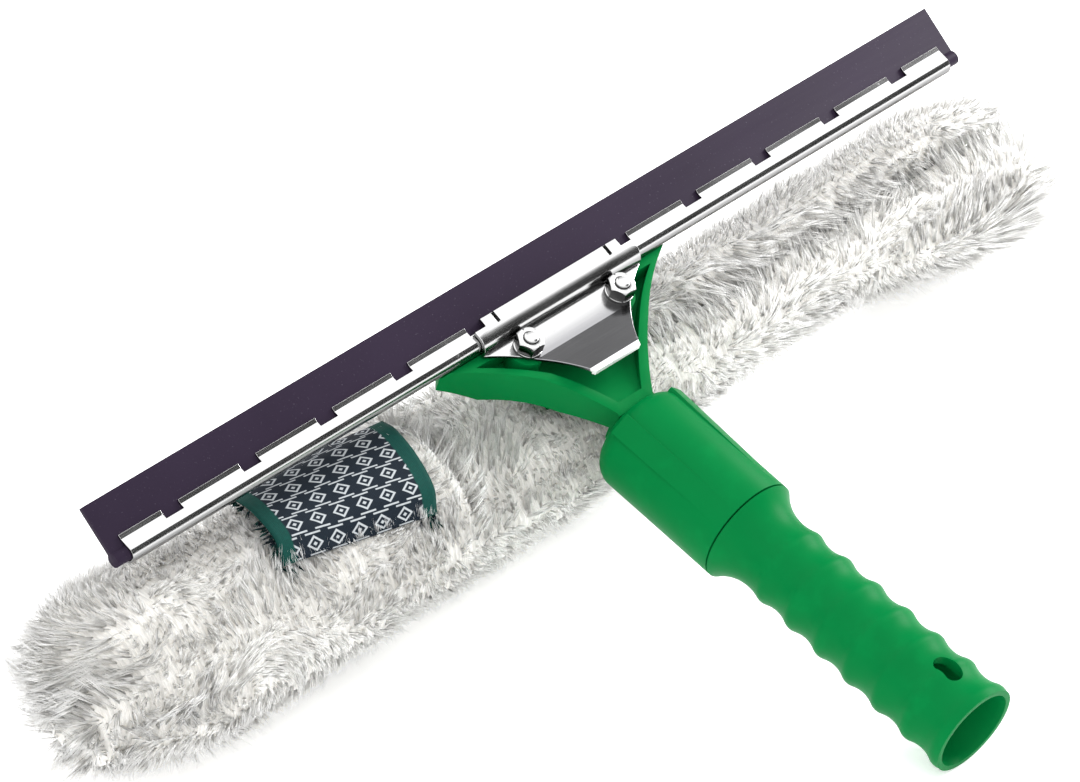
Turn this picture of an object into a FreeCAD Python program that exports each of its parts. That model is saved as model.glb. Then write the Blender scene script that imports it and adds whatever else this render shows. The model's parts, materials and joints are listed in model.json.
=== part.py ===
import FreeCAD, Part
import math
import os

from FreeCAD import Placement, Rotation, Vector

# Window scrubber: a squeegee above, a plush washer sleeve on a T-bar below, one hollow handle.
# All sizes are millimetres and degrees. Three nested frames carry the pieces:
# the tool frame has its origin at the centre of the handle's open end, Y forward along the handle axis;
# the head frame lies in the rim plane of the yoke, with its origin midway between the two clamp bolts;
# the blade frame has its origin at the back of the steel channel, Y towards the wiping edge.
# At the end the tool is laid down so that the sleeve and the handle's end both touch Z = 0.

# Running clearances
slide_gap = 0.3            # between pieces that slide past each other
seat_gap = 0.3             # between a loose piece and what carries it
thread_gap = 0.15          # between a bolt and the nut on it
hole_gap = 0.35            # between a bolt and a hole that it passes through
sleeve_air = 1.0           # between the sleeve and the moulding above it
saddle_air = 0.6           # between the sleeve's flat and the saddle

# Handle: grip tube with a pole bore
grip_length = 95.0         # open end to the parting groove
grip_end_radius = 15.5
grip_front_radius = 13.4   # at the last finger crest, near the neck
crest_count = 7
crest_pitch = 12.5
crest_first = 2.2          # distance of the first crest from the open end
crest_width = 3.0
crest_round = 0.3          # how far a crest bulges over its own width
scallop_depth = 1.3
neck_waist_radius = 13.7
bore_radius = 11.0
bore_length = 74.0         # straight part of the pole bore
bore_mouth_radius = 13.3
bore_mouth_length = 14.0
spigot_radius = 13.0
spigot_length = 20.0
spigot_core_radius = 9.5
slot_length = 10.0         # hanging slot in the top wall
slot_width = 6.2
slot_from_end = 15.0

# Socket between grip and yoke
groove_width = 0.6         # parting groove between grip and socket
socket_radius = 17.4
socket_length = 50.0
socket_front_round = 7.0
pad_angle = 43.0           # thumb pads, each side of the top line
pad_width = 7.4
pad_rise = 1.0
pad_fade = 36.0            # length over which a pad fades out towards the groove
shank_radius = 9.0         # yoke's shank in the socket's front
shank_length = 24.0
screw_from_front = 14.0    # screw that holds the shank, from the socket's underside
screw_radius = 1.7
screw_head_radius = 3.4
screw_head_height = 2.2
screw_length = 14.0

# Yoke: tray with a ledge for the channel
yoke_from_socket = 31.0    # socket front to the bolts, along the handle
rim_height = 19.0          # rim plane above the handle axis, at the bolts
head_tilt = 5.0            # rim plane against the handle axis
yoke_tip_half = 48.0       # half width at the tips
yoke_tip_forward = 7.8
yoke_mid_half = 22.5
yoke_mid_back = 11.0
yoke_root_half = 7.6
yoke_root_back = 30.5
rim_fall_back = 10.5       # behind the bolts, where the rim begins to fall towards the root
rim_fall = 6.0             # how far the rim has fallen at the root
yoke_front = 12.5          # front edge of the ledge under the channel
yoke_corner = 3.2          # chamfer of the front corners
yoke_depth = 13.5
yoke_tip_depth = 8.0
yoke_wall = 2.6
tray_depth = 6.5
floor_thickness = 3.0
boss_radius = 5.6

# Clamp: plate, bolts, washers, nuts
bolt_spacing = 39.2
bolt_radius = 2.4
bolt_head_radius = 5.2
bolt_head_height = 2.4
bolt_proud = 0.9           # bolt end above the nut
bolt_chamfer = 0.6
plate_thickness = 1.2
plate_above_rim = 0.5
plate_tail_half = 9.4
plate_tail_back = 19.5
plate_waist_half = 15.2
plate_waist_back = 10.4
plate_bend_back = 5.0      # behind the bolts, where the tail bends up
tail_rise = 2.5
tail_hem = 2.2             # height of the hem turned down at the tail's end
jaw_half = 33.5
jaw_corner_width = 4.6     # cut-out at each front corner of the jaw, over a channel notch
jaw_corner_depth = 2.8
tongue_slot_width = 1.2    # slot beside the spring tongue
tongue_slot_depth = 3.6
tongue_width = 4.4
washer_radius = 4.6
washer_thickness = 0.8
nut_across_flats = 8.0
nut_height = 3.8
nut_gap = 0.1

# Blade: steel channel and rubber
channel_length = 350.0
channel_behind = 6.5       # back of the channel ahead of the bolts, in the head frame
channel_raise = 0.95       # back of the channel above the rim plane
blade_lean = 22.0          # blade against the rim plane
channel_radius = 3.3
channel_sheet = 0.7
channel_depth = 8.9
lip_length = 1.5
notch_count = 11
notch_pitch = 31.0
notch_width = 7.0
notch_depth = 3.0
rubber_length = 360.0
rubber_thickness = 2.0
rubber_reach = 12.3        # rubber beyond the lips
rubber_gap = 0.2

# T-bar under the head
bar_behind_bolts = 3.8     # bar axis behind the bolts, along the handle
bar_below = 26.8           # bar axis below the handle axis
bar_radius = 13.0
bar_wall = 2.6
bar_length = 352.0
bar_hole_radius = 3.2
bar_hole_count = 4         # drain holes on each side of the stem
bar_hole_first = 42.0
bar_hole_pitch = 34.0
stem_half_width = 12.0
stem_thickness = 8.0
saddle_thickness = 5.0
saddle_half_depth = 7.0
cap_thickness = 2.6
cap_plug_length = 8.0

# Washer sleeve and what is sewn to it
sleeve_overhang = 22.0     # sleeve beyond each end of the bar
sleeve_bore_gap = 0.4
plush_under = 18.6         # plush between the bore and the surface that it lies on
# Plush over the bore at each station, as the tool lies: down, low front, high front, high back.
# A station is a distance from the sleeve's left end, from the stem, or from its right end.
plush_from_left = (
    (0.0, 1.0, 1.0, 3.6, 6.6),
    (6.0, 9.6, 4.1, 12.6, 15.6),
    (17.0, 15.6, 10.6, 18.6, 21.6),
    (35.0, 19.0, 15.6, 19.6, 21.1),
    (68.0, 19.0, 15.6, 18.4, 18.5),
    (120.0, 18.8, 14.6, 18.2, 18.4),
)
plush_from_stem = (
    (5.0, 17.6, 13.1, 17.1, 18.1),
)
plush_from_right = (
    (143.0, 12.6, 5.6, 16.6, 17.6),
    (108.0, 6.6, 2.8, 15.6, 17.6),
    (78.0, 7.1, 3.8, 15.6, 17.6),
    (48.0, 13.6, 9.6, 16.6, 17.6),
    (18.0, 16.6, 12.6, 17.1, 17.1),
    (0.0, 13.6, 10.6, 12.6, 11.6),
)
strip_thickness = 1.1      # hook and loop strips along the slit
strip_height = 6.0
strip_below = 9.5          # top of the strips below the sleeve's flat
strip_from_stem = 12.0
strip_from_end = 14.0
binding_thickness = 2.2
binding_length = 9.0
label_thickness = 0.7
label_width = 57.0
label_centre = -92.0
label_low_angle = 64.0     # about the bar axis, from the handle side up
label_high_angle = 128.0

X_AXIS = Vector(1, 0, 0)
Y_AXIS = Vector(0, 1, 0)
Z_AXIS = Vector(0, 0, 1)
FAR = 400.0                # longer than any piece, for cutting
OVERRUN = 1.0              # how far a cut runs past the face that it opens
SAME_PLACE = 0.01          # how near an edge lies to the plane that it is picked by

# Places that follow from the sizes
socket_back = grip_length + groove_width
socket_front = socket_back + socket_length
bolt_y = socket_front + yoke_from_socket
half_bolts = bolt_spacing / 2
screw_y = socket_front - screw_from_front
screw_seat = -(socket_radius - screw_head_height - seat_gap)
head_frame = Placement(Vector(0, bolt_y, rim_height), Rotation(X_AXIS, head_tilt))
blade_frame = head_frame * Placement(Vector(0, channel_behind, channel_raise), Rotation(X_AXIS, blade_lean))
bar_ahead = bolt_y - bar_behind_bolts
bar_centre = Vector(0, bar_ahead, -bar_below)
bar_end = bar_length / 2 + cap_thickness
sleeve_end = bar_length / 2 + sleeve_overhang
plate_top = plate_above_rim + plate_thickness
saddle_top = -(tray_depth + floor_thickness)
saddle_low = saddle_top - saddle_thickness
head_seat = saddle_low + bolt_head_height
washer_top = plate_top + washer_thickness
nut_low = washer_top + nut_gap
bolt_top = nut_low + nut_height + bolt_proud
sleeve_flat = (head_frame.multVec(Vector(0, -saddle_half_depth, saddle_low))).z - saddle_air
sleeve_bore = bar_radius + sleeve_bore_gap
sleeve_radius = sleeve_bore + plush_under
sleeve_clear_radius = sleeve_radius + sleeve_air
rest_drop = grip_end_radius - bar_below
rest_slope = math.asin(sleeve_radius / math.hypot(bar_ahead, rest_drop)) - math.atan2(rest_drop, bar_ahead)
rest_turn = Rotation(X_AXIS, math.degrees(rest_slope))
rest_lift = grip_end_radius * math.cos(rest_slope)
slit_half = stem_thickness / 2 + slide_gap + strip_thickness
slit_left = -(stem_half_width + slide_gap)


def box(x0, x1, y0, y1, z0, z1):
    return Part.makeBox(x1 - x0, y1 - y0, z1 - z0, Vector(x0, y0, z0))


def rod(centre, axis, radius, length):
    """Cylinder that starts at centre and runs along axis."""
    return Part.makeCylinder(radius, length, centre, axis)


def bar_rod(radius, x0, x1):
    """Cylinder about the T-bar's axis from x0 to x1."""
    return rod(Vector(x0, bar_centre.y, bar_centre.z), X_AXIS, radius, x1 - x0)


def placed(shape, frame):
    """Copy of a shape built in a local frame, brought into the tool frame."""
    moved = shape.copy()
    moved.Placement = frame * moved.Placement
    return moved


def polygon(points):
    return Part.makePolygon(points + [points[0]])


def side_section(points, half_length):
    """Closed YZ outline pulled along X, evenly about X = 0."""
    wire = polygon([Vector(-half_length, y, z) for y, z in points])
    return Part.Face(wire).extrude(Vector(2 * half_length, 0, 0))


def mirrored(shape):
    """The same shape on the other side of the symmetry plane X = 0."""
    return shape.mirror(Vector(0, 0, 0), X_AXIS)


def crest_radius(y):
    """Outer radius of the finger crests, tapering from the open end to the neck."""
    last = crest_first + (crest_count - 1) * crest_pitch
    share = (y - crest_first) / (last - crest_first)
    return grip_end_radius + (grip_front_radius - grip_end_radius) * share


def arc_edge(start, middle, end):
    return Part.Arc(start, middle, end).toShape()


def make_grip():
    """Ribbed grip tube: a revolved profile with scallops, a pole bore and a spigot for the socket."""
    edges = []
    point = Vector(grip_end_radius - crest_round, 0, 0)
    start = point
    for index in range(crest_count):
        middle_y = crest_first + index * crest_pitch
        low = Vector(crest_radius(middle_y) - crest_round, middle_y - crest_width / 2, 0)
        top = Vector(crest_radius(middle_y), middle_y, 0)
        high = Vector(crest_radius(middle_y) - crest_round, middle_y + crest_width / 2, 0)
        if index == 0:
            edges.append(Part.makeLine(point, low))
        else:
            between = (point.y + low.y) / 2
            groove = Vector(crest_radius(between) - scallop_depth, between, 0)
            edges.append(arc_edge(point, groove, low))
        edges.append(arc_edge(low, top, high))
        point = high
    shoulder = Vector(socket_radius, grip_length, 0)
    waist_y = (2 * grip_length + point.y) / 3
    edges.append(arc_edge(point, Vector(neck_waist_radius, waist_y, 0), shoulder))
    bore_end = bore_mouth_length + bore_length
    corners = [
        shoulder,
        Vector(spigot_radius, grip_length, 0),
        Vector(spigot_radius, grip_length + spigot_length, 0),
        Vector(spigot_core_radius, grip_length + spigot_length, 0),
        Vector(spigot_core_radius, grip_length, 0),
        Vector(0, grip_length, 0),
        Vector(0, bore_end, 0),
        Vector(bore_radius, bore_end, 0),
        Vector(bore_radius, bore_mouth_length, 0),
        Vector(bore_mouth_radius, 0, 0),
        start,
    ]
    for first, second in zip(corners, corners[1:]):
        edges.append(Part.makeLine(first, second))
    grip = Part.Face(Part.Wire(edges)).revolve(Vector(0, 0, 0), Y_AXIS, 360)
    return grip.cut(hanging_slot())


def hanging_slot():
    """Round-ended slot through the top wall near the open end."""
    radius = slot_width / 2
    straight = slot_length / 2 - radius
    height = 2 * grip_end_radius
    back = rod(Vector(0, slot_from_end - straight, 0), Z_AXIS, radius, height)
    front = rod(Vector(0, slot_from_end + straight, 0), Z_AXIS, radius, height)
    middle = box(-radius, radius, slot_from_end - straight, slot_from_end + straight, 0, height)
    return back.fuse([front, middle])


def yoke_outline(inset):
    """Plan of the yoke in the rim plane, drawn in by inset."""
    tip = Vector(yoke_tip_half - 2 * inset, yoke_tip_forward - inset / 2, 0)
    middle = Vector(yoke_mid_half - inset, -yoke_mid_back + inset / 2, 0)
    root = Vector(yoke_root_half - inset, -yoke_root_back + inset, 0)
    corner = Vector(tip.x - yoke_corner, yoke_front - inset / 2, 0)
    side = [arc_edge(root, middle, tip), Part.makeLine(tip, corner)]
    other = [mirrored(edge) for edge in side]
    front = Part.makeLine(corner, Vector(-corner.x, corner.y, 0))
    back = Part.makeLine(Vector(-root.x, root.y, 0), root)
    return Part.Face(Part.Wire(Part.__sortEdges__(side + [front, back] + other)))


def yoke_prism(inset, low, high):
    face = yoke_outline(inset)
    face.translate(Vector(0, 0, low))
    return face.extrude(Vector(0, 0, high - low))


def yoke_pocket(front, low, high):
    """Room inside the yoke's walls, behind front, between two heights."""
    return yoke_prism(yoke_wall, low, high).common(box(-FAR, FAR, -FAR, front, low, high))


def socket_blank(grow):
    """Round socket with its rounded front, larger all over by grow."""
    body = rod(Vector(0, socket_back, 0), Y_AXIS, socket_radius + grow, socket_length + grow)
    front = socket_front + grow
    rims = [edge for edge in body.Edges if abs(edge.CenterOfMass.y - front) < SAME_PLACE]
    return body.makeFillet(socket_front_round + grow, rims[:1])


def make_socket():
    """Socket with two thumb pads, bored for the grip's spigot, the yoke's shank and the screw."""
    body = socket_blank(0)
    flat = socket_radius * math.cos(math.asin(pad_width / 2 / socket_radius))
    pad_front = socket_front - socket_front_round / 2
    outline = [
        (pad_front, 0),
        (pad_front, flat + pad_rise),
        (pad_front - pad_fade, flat),
        (pad_front - pad_fade, 0),
    ]
    pad = side_section(outline, pad_width / 2)
    for angle in (pad_angle, -pad_angle):
        turned = pad.copy()
        turned.rotate(Vector(0, 0, 0), Y_AXIS, angle)
        body = body.fuse(turned)
    spigot_room = rod(Vector(0, socket_back, 0), Y_AXIS, spigot_radius + hole_gap,
                      spigot_length - groove_width + seat_gap)
    shank_room = rod(Vector(0, socket_front - shank_length - seat_gap, 0), Y_AXIS, shank_radius + hole_gap,
                     socket_length)
    screw_room = rod(Vector(0, screw_y, 0), -Z_AXIS, screw_radius + hole_gap, 2 * socket_radius)
    head_room = rod(Vector(0, screw_y, screw_seat), -Z_AXIS, screw_head_radius + hole_gap, socket_radius)
    body = body.cut([spigot_room, shank_room, screw_room, head_room])
    return body.cut(bar_rod(sleeve_clear_radius, -FAR, FAR)).removeSplitter()


def make_socket_screw():
    """Pan-head screw from the socket's underside into the yoke's shank."""
    head = rod(Vector(0, screw_y, screw_seat), -Z_AXIS, screw_head_radius, screw_head_height)
    shank = rod(Vector(0, screw_y, screw_seat), Z_AXIS, screw_radius, screw_length)
    return head.fuse(shank).removeSplitter()


def make_yoke():
    """Yoke with tray, bolt bosses, ledge under the channel, seat for the saddle, and its shank."""
    back_wall = channel_behind - slide_gap - yoke_wall
    yoke = yoke_prism(0, -yoke_depth, 0)
    rise = yoke_depth - yoke_tip_depth
    past_front = yoke_front + OVERRUN
    under_tip = [
        (0, -yoke_depth),
        (past_front, -yoke_depth + rise * past_front / yoke_tip_forward),
        (past_front, -yoke_depth - OVERRUN),
        (0, -yoke_depth - OVERRUN),
    ]
    yoke = yoke.cut(side_section(under_tip, FAR))
    yoke = yoke.cut(yoke_pocket(back_wall, -tray_depth, OVERRUN))
    yoke = yoke.cut(yoke_pocket(saddle_half_depth + slide_gap, -yoke_depth - OVERRUN, saddle_top))
    for x in (-half_bolts, half_bolts):
        boss_height = tray_depth + plate_above_rim - seat_gap
        yoke = yoke.fuse(rod(Vector(x, 0, -tray_depth), Z_AXIS, boss_radius, boss_height))
    root_back = -(yoke_from_socket + socket_front_round / 2 - seat_gap)
    root = box(-yoke_root_half, yoke_root_half, root_back, -yoke_root_back + OVERRUN, -rim_height, 0)
    yoke = yoke.fuse(root)
    fall = rim_fall * (-root_back - rim_fall_back) / (yoke_root_back - rim_fall_back)
    over_root = [
        (-rim_fall_back, 0),
        (root_back, -fall),
        (root_back - OVERRUN, -fall),
        (root_back - OVERRUN, OVERRUN),
        (-rim_fall_back, OVERRUN),
    ]
    yoke = yoke.cut(side_section(over_root, FAR))
    for x in (-half_bolts, half_bolts):
        yoke = yoke.cut(rod(Vector(x, 0, -yoke_depth), Z_AXIS, bolt_radius + hole_gap, 2 * yoke_depth))
    yoke = placed(yoke, head_frame)
    channel_room = box(-FAR, FAR, -slide_gap, 2 * channel_depth, -channel_radius - slide_gap, FAR)
    yoke = yoke.cut(placed(channel_room, blade_frame))
    yoke = yoke.cut(socket_blank(seat_gap))
    shank_front = socket_front + yoke_from_socket - yoke_root_back
    shank_back = socket_front - shank_length
    shank = rod(Vector(0, shank_back, 0), Y_AXIS, shank_radius, shank_front - shank_back)
    yoke = yoke.fuse(shank).cut(bar_rod(sleeve_clear_radius, -FAR, FAR))
    pilot = rod(Vector(0, screw_y, 0), -Z_AXIS, screw_radius + thread_gap, socket_radius)
    return yoke.cut(pilot).removeSplitter()


def channel_outline(radius, lip_height, depth):
    """Drop-shaped section: round back, sides that draw in, straight lips."""
    bend = channel_depth - lip_length
    top = Vector(0, channel_radius, radius)
    back = Vector(0, channel_radius - radius, 0)
    low = Vector(0, channel_radius, -radius)
    upper = [top, Vector(0, bend, lip_height), Vector(0, depth, lip_height)]
    lower = [Vector(0, depth, -lip_height), Vector(0, bend, -lip_height), low]
    edges = [arc_edge(low, back, top)]
    run = upper + lower
    for first, second in zip(run, run[1:]):
        edges.append(Part.makeLine(first, second))
    return Part.Face(Part.Wire(edges))


def pulled_along_x(face, length):
    moved = face.copy()
    moved.translate(Vector(-length / 2, 0, 0))
    return moved.extrude(Vector(length, 0, 0))


def make_channel():
    """Folded steel channel with a row of notches in its lips."""
    inner_lip = rubber_thickness / 2 + rubber_gap
    outline = channel_outline(channel_radius, inner_lip + channel_sheet, channel_depth)
    outer = pulled_along_x(outline, channel_length)
    room = channel_outline(channel_radius - channel_sheet, inner_lip, channel_depth + OVERRUN)
    channel = outer.cut(pulled_along_x(room, channel_length + 2 * OVERRUN))
    notch_start = channel_depth - notch_depth
    for index in range(notch_count):
        x = (index - (notch_count - 1) / 2) * notch_pitch
        notch = box(x - notch_width / 2, x + notch_width / 2, notch_start,
                    channel_depth + OVERRUN, -channel_radius - OVERRUN, channel_radius + OVERRUN)
        channel = channel.cut(notch)
    return placed(channel, blade_frame)


def make_rubber():
    """Rubber strip: a flat wiping blade and a round bead that the channel holds."""
    bead_radius = channel_radius - channel_sheet - slide_gap
    half = rubber_length / 2
    bead = rod(Vector(-half, channel_radius, 0), X_AXIS, bead_radius, rubber_length)
    web = box(-half, half, channel_radius, channel_depth + rubber_reach,
              -rubber_thickness / 2, rubber_thickness / 2)
    return placed(bead.fuse(web).removeSplitter(), blade_frame)


def jaw_section():
    """Side outline of the jaw in the head frame: riser, round over the channel's back, straight top."""
    to_head = head_frame.inverse() * blade_frame
    centre = to_head.multVec(Vector(0, channel_radius, 0))
    inner = channel_radius + slide_gap
    outer = inner + plate_thickness
    lean = math.radians(blade_lean)
    lip_top = rubber_thickness / 2 + rubber_gap + channel_sheet + slide_gap
    front_inner = to_head.multVec(Vector(0, channel_depth, lip_top))
    front_outer = to_head.multVec(Vector(0, channel_depth, lip_top + plate_thickness))
    up = Vector(0, -math.sin(lean), math.cos(lean))
    slant = Vector(0, -math.cos(lean / 2), math.sin(lean / 2))
    points_outer = [Vector(0, centre.y - outer, plate_above_rim), Vector(0, centre.y - outer, centre.z)]
    points_inner = [Vector(0, centre.y - inner, centre.z), Vector(0, centre.y - inner, plate_above_rim)]
    edges = [
        Part.makeLine(points_outer[0], points_outer[1]),
        arc_edge(points_outer[1], centre + slant * outer, centre + up * outer),
        Part.makeLine(centre + up * outer, front_outer),
        Part.makeLine(front_outer, front_inner),
        Part.makeLine(front_inner, centre + up * inner),
        arc_edge(centre + up * inner, centre + slant * inner, points_inner[0]),
        Part.makeLine(points_inner[0], points_inner[1]),
        Part.makeLine(points_inner[1], points_outer[0]),
    ]
    return Part.Face(Part.Wire(edges)), centre.y - outer


def make_clamp_plate():
    """Pressed steel plate: waisted tongue whose tail bends up to a hem, and the jaw over the channel."""
    section, crease = jaw_section()
    jaw = pulled_along_x(section, 2 * jaw_half)
    waist = Vector(plate_waist_half, -plate_waist_back, 0)
    tail = Vector(plate_tail_half, -plate_tail_back, 0)
    front = Vector(jaw_half, crease + plate_thickness, 0)
    side = Vector(jaw_half, crease, 0)
    mirror = [Vector(-point.x, point.y, 0) for point in (side, waist, tail, front)]
    edges = [
        arc_edge(side, waist, tail),
        Part.makeLine(tail, mirror[2]),
        arc_edge(mirror[2], mirror[1], mirror[0]),
        Part.makeLine(mirror[0], mirror[3]),
        Part.makeLine(mirror[3], front),
        Part.makeLine(front, side),
    ]
    plan = Part.Face(Part.Wire(edges)).extrude(Vector(0, 0, plate_top + tail_rise))
    hem_front = -plate_tail_back + plate_thickness
    slope = tail_rise / (plate_tail_back - plate_bend_back)
    side_outline = [
        (front.y, plate_above_rim),
        (front.y, plate_top),
        (-plate_bend_back, plate_top),
        (-plate_tail_back, plate_top + tail_rise),
        (-plate_tail_back, plate_top + tail_rise - tail_hem),
        (hem_front, plate_top + tail_rise - tail_hem),
        (hem_front, plate_above_rim + slope * (-hem_front - plate_bend_back)),
        (-plate_bend_back, plate_above_rim),
    ]
    tongue = side_section(side_outline, jaw_half).common(plan)
    plate = tongue.fuse(jaw).removeSplitter()
    for x in (-half_bolts, half_bolts):
        plate = plate.cut(rod(Vector(x, 0, 0), Z_AXIS, bolt_radius + hole_gap, 2 * tray_depth))
    plate = placed(plate, head_frame)
    tongue_outside = jaw_half - jaw_corner_width - tongue_width
    for side_sign in (-1, 1):
        ends = sorted((side_sign * (jaw_half - jaw_corner_width), side_sign * (jaw_half + OVERRUN)))
        corner = box(ends[0], ends[1], channel_depth - jaw_corner_depth, 2 * channel_depth, 0, FAR)
        slot = sorted((side_sign * tongue_outside, side_sign * (tongue_outside - tongue_slot_width)))
        gap = box(slot[0], slot[1], channel_depth - tongue_slot_depth, 2 * channel_depth, 0, FAR)
        plate = plate.cut([placed(corner, blade_frame), placed(gap, blade_frame)])
    return plate


def make_bolt(x):
    """Domed bolt: head under the saddle, shank up through saddle, floor, plate, washer and nut."""
    head = rod(Vector(x, 0, saddle_low), Z_AXIS, bolt_head_radius, bolt_head_height)
    shank = rod(Vector(x, 0, saddle_low), Z_AXIS, bolt_radius, bolt_top - saddle_low)
    bolt = head.fuse(shank).removeSplitter()
    tops = [edge for edge in bolt.Edges if abs(edge.CenterOfMass.z - bolt_top) < SAME_PLACE]
    return placed(bolt.makeChamfer(bolt_chamfer, tops[:1]), head_frame)


def make_washer(x):
    disc = rod(Vector(x, 0, plate_top), Z_AXIS, washer_radius, washer_thickness)
    return placed(disc.cut(rod(Vector(x, 0, 0), Z_AXIS, bolt_radius + hole_gap, FAR)), head_frame)


def make_nut(x):
    """Hexagon nut with its corners turned down to a cone at the top."""
    corner = nut_across_flats / math.sqrt(3)
    points = []
    for index in range(6):
        angle = math.radians(60 * index)
        points.append(Vector(x + corner * math.cos(angle), corner * math.sin(angle), nut_low))
    hexagon = Part.Face(polygon(points)).extrude(Vector(0, 0, nut_height))
    slope = corner - nut_across_flats / 2
    low = Vector(x, 0, nut_low)
    cone = Part.makeCone(corner + nut_height - slope, corner - slope, nut_height, low, Z_AXIS)
    nut = hexagon.common(cone)
    return placed(nut.cut(rod(Vector(x, 0, 0), Z_AXIS, bolt_radius + thread_gap, FAR)), head_frame)


def make_t_bar():
    """Hollow bar with drain holes, a flat stem through the sleeve's slit and a saddle under the yoke."""
    bar = bar_rod(bar_radius, -bar_length / 2, bar_length / 2)
    saddle = box(-half_bolts, half_bolts, -saddle_half_depth, saddle_half_depth, saddle_low, saddle_top)
    for x in (-half_bolts, half_bolts):
        saddle = saddle.fuse(rod(Vector(x, 0, saddle_low), Z_AXIS, saddle_half_depth, saddle_thickness))
    for x in (-half_bolts, half_bolts):
        seat = rod(Vector(x, 0, head_seat), -Z_AXIS, bolt_head_radius + hole_gap, saddle_thickness)
        hole = rod(Vector(x, 0, saddle_low), Z_AXIS, bolt_radius + hole_gap, saddle_thickness)
        saddle = saddle.cut([seat, hole])
    saddle = placed(saddle, head_frame)
    stem_top = head_frame.multVec(Vector(0, 0, (saddle_low + saddle_top) / 2)).z
    stem = box(-stem_half_width, stem_half_width, bar_ahead - stem_thickness / 2,
               bar_ahead + stem_thickness / 2, -bar_below, stem_top)
    t_bar = bar.fuse([stem, saddle]).cut(bar_rod(bar_radius - bar_wall, -FAR, FAR))
    for index in range(bar_hole_count):
        for side_sign in (-1, 1):
            x = side_sign * (bar_hole_first + index * bar_hole_pitch)
            low = Vector(x, bar_ahead, -bar_below - 2 * bar_radius)
            hole = rod(low, Z_AXIS, bar_hole_radius, 4 * bar_radius)
            t_bar = t_bar.cut(hole)
    return t_bar.removeSplitter()


def make_bar_cap():
    """Right end cap: a disc with a plug that fits inside the bar."""
    edge = bar_length / 2
    disc = bar_rod(bar_radius, edge, edge + cap_thickness)
    plug = bar_rod(bar_radius - bar_wall - hole_gap, edge - cap_plug_length, edge)
    return disc.fuse(plug).removeSplitter()


def slit_room(half_width, left):
    """Space of the slit: upwards from the bar's axis, from left to past the sleeve's right end."""
    return box(left, FAR, bar_ahead - half_width, bar_ahead + half_width, -bar_below, FAR)


def plush_ring(x, down, low_front, high_front, high_back):
    """Closed ring of four arcs round the bar at x, through the plush in eight directions."""
    front = (low_front + high_front) / 2
    up = (high_front + high_back) / 2
    back = (2 * high_back + down) / 3
    low_back = (high_back + 2 * down) / 3
    points = []
    for index, plush in enumerate((down, low_front, front, high_front, up, high_back, back, low_back)):
        angle = math.radians(45 * index - 90) + rest_slope
        reach = sleeve_bore + plush
        points.append(Vector(x, bar_centre.y - reach * math.cos(angle), bar_centre.z + reach * math.sin(angle)))
    points.append(points[0])
    return Part.Wire([arc_edge(*points[start:start + 3]) for start in (0, 2, 4, 6)])


def plush_body():
    """Outside of the sleeve: rings from left to right, flat where it lies on its surface."""
    rings = [plush_ring(-sleeve_end + place, *plush) for place, *plush in plush_from_left]
    rings += [plush_ring(place, *plush) for place, *plush in plush_from_stem]
    rings += [plush_ring(sleeve_end - place, *plush) for place, *plush in plush_from_right]
    body = Part.makeLoft(rings, True)
    laid = Placement(Vector(0, 0, rest_lift), rest_turn)
    return body.cut(placed(box(-FAR, FAR, -FAR, FAR, -FAR, 0), laid.inverse()))


def make_sleeve():
    """Plush sleeve: swollen closed left end, open right end, slit from the stem to the right end."""
    sleeve = plush_body()
    sleeve = sleeve.cut(bar_rod(sleeve_bore, -bar_end - sleeve_bore_gap, FAR))
    sleeve = sleeve.cut(bar_rod(sleeve_bore + binding_thickness, sleeve_end - binding_length, FAR))
    sleeve = sleeve.cut(slit_room(slit_half, slit_left))
    saddle_room_left = -(half_bolts + saddle_half_depth + slide_gap)
    sleeve = sleeve.cut(box(saddle_room_left, FAR, bar_ahead - FAR, bar_ahead + FAR, sleeve_flat, FAR))
    return sleeve.removeSplitter()


def make_binding():
    """Hem tape round the open right end of the bore, broken at the slit."""
    ring = bar_rod(sleeve_bore + binding_thickness, sleeve_end - binding_length, sleeve_end)
    ring = ring.cut(bar_rod(sleeve_bore, -FAR, FAR))
    return ring.cut(slit_room(slit_half, slit_left))


def make_strip(side_sign):
    """Fastening strip along one lip of the slit, right of the stem."""
    outside = bar_ahead + side_sign * slit_half
    inside = outside - side_sign * strip_thickness
    low, high = sorted((outside, inside))
    top = sleeve_flat - strip_below
    return box(stem_half_width + strip_from_stem, sleeve_end - strip_from_end, low, high,
               top - strip_height, top)


def make_label():
    """Woven label lying on the sleeve's left half."""
    inner = sleeve_radius + seat_gap
    x0 = label_centre - label_width / 2
    ring = bar_rod(inner + label_thickness, x0, x0 + label_width).cut(bar_rod(inner, -FAR, FAR))
    wedge = [Vector(x0 - OVERRUN, bar_centre.y, bar_centre.z)]
    for angle in (label_low_angle, (label_low_angle + label_high_angle) / 2, label_high_angle):
        reach = 3 * sleeve_radius
        y = bar_centre.y - reach * math.cos(math.radians(angle))
        z = bar_centre.z + reach * math.sin(math.radians(angle))
        wedge.append(Vector(x0 - OVERRUN, y, z))
    sector = Part.Face(polygon(wedge)).extrude(Vector(label_width + 2 * OVERRUN, 0, 0))
    return ring.common(sector)


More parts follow.
